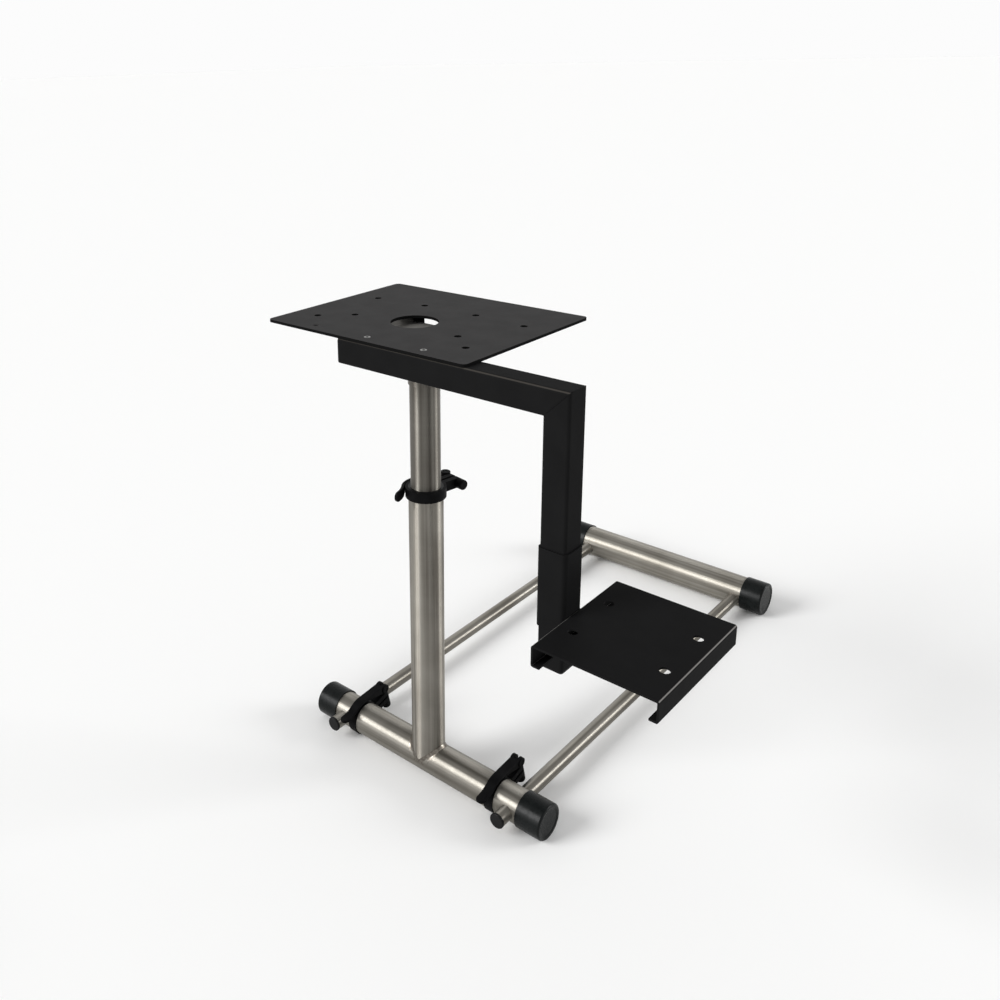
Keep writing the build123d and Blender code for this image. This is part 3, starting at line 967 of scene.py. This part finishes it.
@dataclass
class SideArm:
    """The arm under the wheel plate and the tube that drops from it."""

    maker: PieceMaker
    corner_radius: float = 4.0 * MM
    bead_radius: float = 0.45 * MM
    bead_ripple: float = 0.25
    bolt_shank_radius: float = 3.0 * MM
    bolt_head_depth: float = 1.5 * MM

    def build(self) -> None:
        """Adds the mitre's weld and the two socket bolts."""
        self._add_mitre_weld()
        for node in ("arm_bolt_inner", "arm_bolt_outer"):
            low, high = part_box(node)
            bolt = SocketBolt((high.x - low.x) / 2, self.bolt_shank_radius, self.bolt_head_depth,
                              length=high.z - low.z)
            centre = middle(node)
            top = Vector((centre.x, centre.y, high.z))
            piece = self.maker.add(node + "_detailed", bolt.mesh(top), "mast", Slot.ZINC, ZINC)
            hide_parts(node)

    def _add_mitre_weld(self) -> None:
        """Adds a thin painted bead round the slanted joint of the two tubes."""
        half = half_size("arm_tube").y
        arm = middle("arm_tube")
        drop = middle("drop_tube")
        straight = half - self.corner_radius

        def outline(share: float) -> Vector:
            """Follows the tubes' square outline, in the slanted plane where they meet.

            Args:
                share: how far round the outline, from 0 to 1.

            Returns:
                A point of the outline.
            """
            quarter, part = divmod(4 * share % 4, 1)
            edge = straight * (2 * part - 1)
            across, up = ((half, edge), (-edge, half), (-half, -edge), (edge, -half))[int(quarter)]
            return Vector((drop.x + up, arm.y + across, arm.z + up))

        bead = WeldBead(outline, length=8 * half, radius=self.bead_radius, ripple=self.bead_ripple)
        self.maker.add("mitre_weld", bead.mesh(), "mast", Slot.BLACK_STEEL, WELD_COAT)

    def dress(self) -> None:
        """Gives the arm's solids their finishes."""
        palette = self.maker.palette
        palette.paint(ARM_COAT, "arm_tube", "drop_tube")
        palette.paint(PLUG_PLASTIC, "arm_end_plug", "drop_end_plug")
        palette.paint(ZINC, "arm_bolt_inner", "arm_bolt_outer")


@dataclass
class ShifterMount:
    """The sleeve on the drop tube with its screw, and the folded plate welded to it."""

    maker: PieceMaker
    bead_radius: float = 1.6 * MM
    bend_radius: float = 2.9 * MM
    groove_depth: float = 2.2 * MM
    screw_shank_radius: float = 4.0 * MM

    def build(self) -> None:
        """Adds the two welds between sleeve and plate, and the knurled screw."""
        low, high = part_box("shifter_sleeve")
        self._add_sleeve_weld("front", low.y)
        self._add_sleeve_weld("back", high.y)
        self._add_screw(high.y)

    def _add_sleeve_weld(self, name: str, y: float) -> None:
        """Adds the weld beside one of the sleeve's corners.

        Args:
            name: which of the two welds.
            y: where the sleeve's face next to it lies.
        """
        sleeve_low, sleeve_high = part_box("shifter_sleeve")
        plate_low, plate_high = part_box("shifter_plate")
        foot = max(sleeve_low.z, plate_low.z + self.bend_radius)
        rise = plate_high.z - self.bend_radius - foot
        groove = y + math.copysign(self.groove_depth, middle("shifter_sleeve").y - y)

        def line(share: float) -> Vector:
            """A point of the upright groove beside the sleeve's corner."""
            return Vector((sleeve_high.x - self.bead_radius / 2, groove, foot + share * rise))

        bead = WeldBead(line, length=rise, radius=self.bead_radius, closed=False)
        self.maker.add("sleeve_weld_" + name, bead.mesh(), "shifter_mount", Slot.BLACK_STEEL, WELD_COAT)

    def _add_screw(self, face: float) -> None:
        """Adds the knurled screw.

        Args:
            face: where the sleeve's face under the screw's head lies, along Y.
        """
        low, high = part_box("sleeve_set_screw")
        screw = KnurledScrew((high.x - low.x) / 2, high.y - face, self.screw_shank_radius, face - low.y)
        centre = middle("sleeve_set_screw")
        seat = Vector((centre.x, face, centre.z))
        piece = self.maker.add("thumb_screw", screw.mesh(seat), "shifter_mount", Slot.ZINC, ZINC)
        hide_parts("sleeve_set_screw")

    def dress(self) -> None:
        """Gives the mount's solids their finishes."""
        palette = self.maker.palette
        palette.paint(ARM_COAT, "shifter_sleeve")
        palette.paint(SHIFTER_COAT, "shifter_plate")
        palette.paint(ZINC, "sleeve_set_screw")


@dataclass
class QuickRelease:
    """One clamp: collar, skewer, barrel nut and cam lever."""

    maker: PieceMaker
    name: str

    def dress(self) -> None:
        """Gives the clamp's solids their finishes."""
        palette = self.maker.palette
        palette.paint(CLAMP_PLASTIC, self.name + "_collar", self.name + "_lever", self.name + "_nut")
        palette.paint(SKEWER_COAT, self.name + "_skewer")


@dataclass(frozen=True)
class DistantLamp:
    """A broad lamp so far away that it lights the floor evenly to its edge, with its angles in degrees."""

    name: str
    bearing: float
    height: float
    breadth: float
    power: float
    holder_distance: float = 3.0

    def build(self) -> None:
        """Hangs the lamp at its bearing and height, facing the stand."""
        lamp = bpy.data.lights.new(self.name, "SUN")
        lamp.angle = math.radians(self.breadth)
        lamp.energy = self.power
        bearing, height = math.radians(self.bearing), math.radians(self.height)
        flat = math.cos(height)
        towards = Vector((flat * math.cos(bearing), flat * math.sin(bearing), math.sin(height)))
        holder = bpy.data.objects.new(self.name, lamp)
        holder.location = self.holder_distance * towards
        holder.rotation_mode = "QUATERNION"
        holder.rotation_quaternion = (-towards).to_track_quat("-Z", "Y")
        bpy.context.scene.collection.objects.link(holder)


@dataclass
class PhotoCamera:
    """The photograph's camera: where it stands, where it looks, in degrees, and how its frame lies."""

    from_post: tuple[float, float] = (846.4 * MM, -1007.2 * MM)
    height: float = 1081.6 * MM
    yaw: float = -43.42
    pitch: float = -16.45
    roll: float = 1.61
    focal_pixels: float = 997.5
    axis_pixel: tuple[float, float] = (367.8, 346.2)
    frame_pixels: float = 1000.0
    sensor: float = 36.0

    def build(self) -> None:
        """Makes the scene's camera."""
        yaw, pitch, roll = (math.radians(angle) for angle in (self.yaw, self.pitch, self.roll))
        ahead = Vector((math.sin(yaw) * math.cos(pitch), math.cos(yaw) * math.cos(pitch), math.sin(pitch)))
        right = Vector((math.cos(yaw), -math.sin(yaw), 0.0))
        down = ahead.cross(right)
        tilted_right = math.cos(roll) * right + math.sin(roll) * down
        tilted_down = math.cos(roll) * down - math.sin(roll) * right
        data = bpy.data.cameras.new("photo_camera")
        data.sensor_width = self.sensor
        data.lens = self.focal_pixels / self.frame_pixels * self.sensor
        data.shift_x = 0.5 - self.axis_pixel[0] / self.frame_pixels
        data.shift_y = self.axis_pixel[1] / self.frame_pixels - 0.5
        camera = bpy.data.objects.new("photo_camera", data)
        turned = Matrix((tilted_right, -tilted_down, -ahead)).transposed()
        post = middle("lower_post")
        place = Vector((post.x + self.from_post[0], post.y + self.from_post[1], self.height))
        camera.matrix_world = Matrix.Translation(place) @ turned.to_4x4()
        bpy.context.scene.collection.objects.link(camera)
        bpy.context.scene.camera = camera


@dataclass
class PaleSurround:
    """The world: an even light for matt surfaces, and a pale surround under a dim ceiling for all the rest.

    Going up from the horizon, in degrees, the surround starts to dim at ceiling_start and is as dim as the
    ceiling from ceiling_full on.
    """

    fill: float = 0.515
    surround: float = 0.973
    ceiling: float = 0.60
    ceiling_start: float = 38.0
    ceiling_full: float = 60.0
    tree: bpy.types.NodeTree = field(init=False)

    def build(self) -> None:
        """Makes the scene's world."""
        world = bpy.data.worlds.new("pale_surround")
        world.use_nodes = True
        bpy.context.scene.world = world
        self.tree = world.node_tree
        self.tree.nodes.clear()
        light = self._background()
        light.inputs["Strength"].default_value = self.fill
        seen = self._background()
        self.tree.links.new(self._brightness(), seen.inputs["Strength"])
        mix = self.tree.nodes.new("ShaderNodeMixShader")
        self.tree.links.new(self._seen_rays(), mix.inputs["Fac"])
        for shade, target in ((light, mix.inputs[1]), (seen, mix.inputs[2])):
            self.tree.links.new(shade.outputs["Background"], target)
        output = self.tree.nodes.new("ShaderNodeOutputWorld")
        self.tree.links.new(mix.outputs["Shader"], output.inputs["Surface"])

    def _background(self) -> bpy.types.ShaderNode:
        """Adds a white background.

        Returns:
            The new node.
        """
        shade = self.tree.nodes.new("ShaderNodeBackground")
        shade.inputs["Color"].default_value = (*WHITE, 1.0)
        return shade

    def _brightness(self) -> Socket:
        """Dims the surround towards its ceiling.

        Returns:
            The surround's strength in each direction.
        """
        heading = self.tree.nodes.new("ShaderNodeTexCoord")
        parts = self.tree.nodes.new("ShaderNodeSeparateXYZ")
        self.tree.links.new(heading.outputs["Generated"], parts.inputs["Vector"])
        fade = self.tree.nodes.new("ShaderNodeMapRange")
        fade.inputs["From Min"].default_value = math.sin(math.radians(self.ceiling_start))
        fade.inputs["From Max"].default_value = math.sin(math.radians(self.ceiling_full))
        fade.inputs["To Min"].default_value = self.surround
        fade.inputs["To Max"].default_value = self.ceiling
        self.tree.links.new(parts.outputs["Z"], fade.inputs["Value"])
        return fade.outputs["Result"]

    def _seen_rays(self) -> Socket:
        """Finds the rays that show the surround itself.

        Returns:
            1 where it is seen, mirrored or shines through, and 0 where it only lights a matt surface.
        """
        rays = self.tree.nodes.new("ShaderNodeLightPath")
        total = rays.outputs["Is Camera Ray"]
        for kind in ("Is Glossy Ray", "Is Transmission Ray"):
            either = self.tree.nodes.new("ShaderNodeMath")
            either.operation = "MAXIMUM"
            self.tree.links.new(total, either.inputs[0])
            self.tree.links.new(rays.outputs[kind], either.inputs[1])
            total = either.outputs["Value"]
        return total


@dataclass
class Studio:
    """A pale floor, soft lamps, a pale surround and the photograph's camera."""

    palette: Palette
    floor_half: float = 60.0
    floor_drop: float = 0.05 * MM
    lamps: tuple[DistantLamp, ...] = (
        DistantLamp("key_lamp", bearing=240.0, height=30.0, breadth=28.0, power=2.2),
        DistantLamp("low_lamp", bearing=244.0, height=12.0, breadth=26.0, power=0.35),
        DistantLamp("side_lamp", bearing=43.0, height=18.0, breadth=24.0, power=1.4),
    )

    def build(self) -> None:
        """Sets up the whole studio."""
        self._lay_floor()
        PaleSurround().build()
        for lamp in self.lamps:
            lamp.build()
        PhotoCamera().build()
        bpy.context.scene.view_settings.view_transform = "Standard"

    def _lay_floor(self) -> None:
        """Lays the floor just under the stand."""
        shape = bmesh.new()
        bmesh.ops.create_grid(shape, x_segments=1, y_segments=1, size=self.floor_half)
        mesh = bpy.data.meshes.new("studio_floor")
        shape.to_mesh(mesh)
        shape.free()
        mesh.materials.append(self.palette.of(PaleFloor()))
        floor = bpy.data.objects.new("studio_floor", mesh)
        floor.location.z = -self.floor_drop
        bpy.context.scene.collection.objects.link(floor)


def main() -> None:
    """Builds and dresses the sub-assemblies in order, then the studio."""
    logging.basicConfig(level=logging.INFO, format="%(name)s %(message)s")
    palette = Palette()
    maker = PieceMaker(palette)
    for assembly in (FrontBase(maker), RearBase(maker), Mast(maker), SideArm(maker), ShifterMount(maker)):
        assembly.build()
        assembly.dress()
    for clamp in ("post_clamp", "left_clamp", "right_clamp"):
        QuickRelease(maker, clamp).dress()
    Studio(palette).build()


if __name__ == "__main__":
    main()
